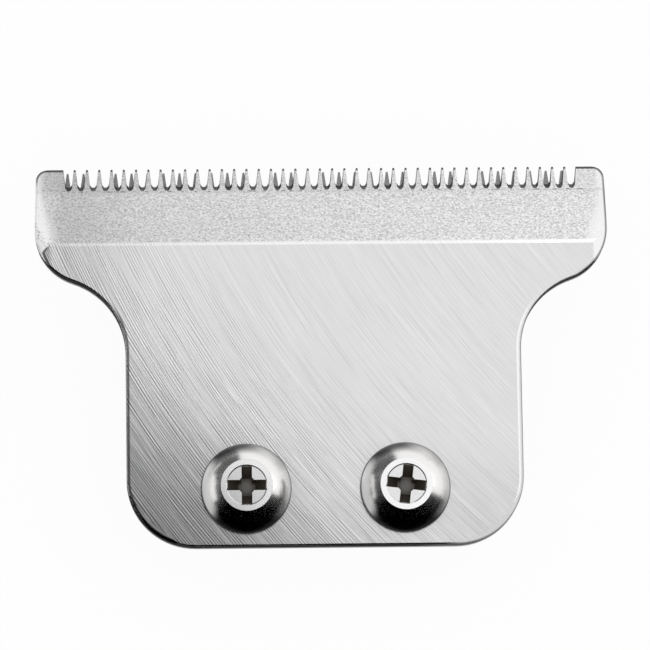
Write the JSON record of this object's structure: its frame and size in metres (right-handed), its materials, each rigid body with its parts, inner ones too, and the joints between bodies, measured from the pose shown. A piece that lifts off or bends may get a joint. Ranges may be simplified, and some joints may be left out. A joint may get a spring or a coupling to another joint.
{
  "type": "hair clipper blade",
  "caption": "Wide T-shaped trimmer blade set: toothed steel plate screwed to a moulded carrier, with a sprung cutter that slides behind its comb.",
  "frame": {"origin": "midway between the two screws, on the plane of the carrier's back, which the set lies on", "axes": "+X along the cutting edge, +Y from the screws towards the tooth tips, +Z out of the front face"},
  "size_m": [0.04, 0.0268, 0.0084],
  "materials": {
    "blade_steel": "brushed",
    "cutter_steel": "ground",
    "fork_plastic": "satin",
    "carrier_plastic": "fine moulded grain",
    "spring_wire": "drawn wire",
    "screw_plating": "bright plated"
  },
  "bodies": {
    "blade_base": {"fixed_blade": "blade_steel", "blade_carrier": "carrier_plastic", "tension_spring": "spring_wire", "blade_screws": "screw_plating"},
    "cutter": {"moving_blade": "cutter_steel", "drive_fork": "fork_plastic"}
  },
  "joints": [
    {"name": "cutter_slide", "type": "slide", "parent": "blade_base", "child": "cutter", "axis": [1, 0, 0], "range_m": [-0.00091, 0.00159]}
  ]
}
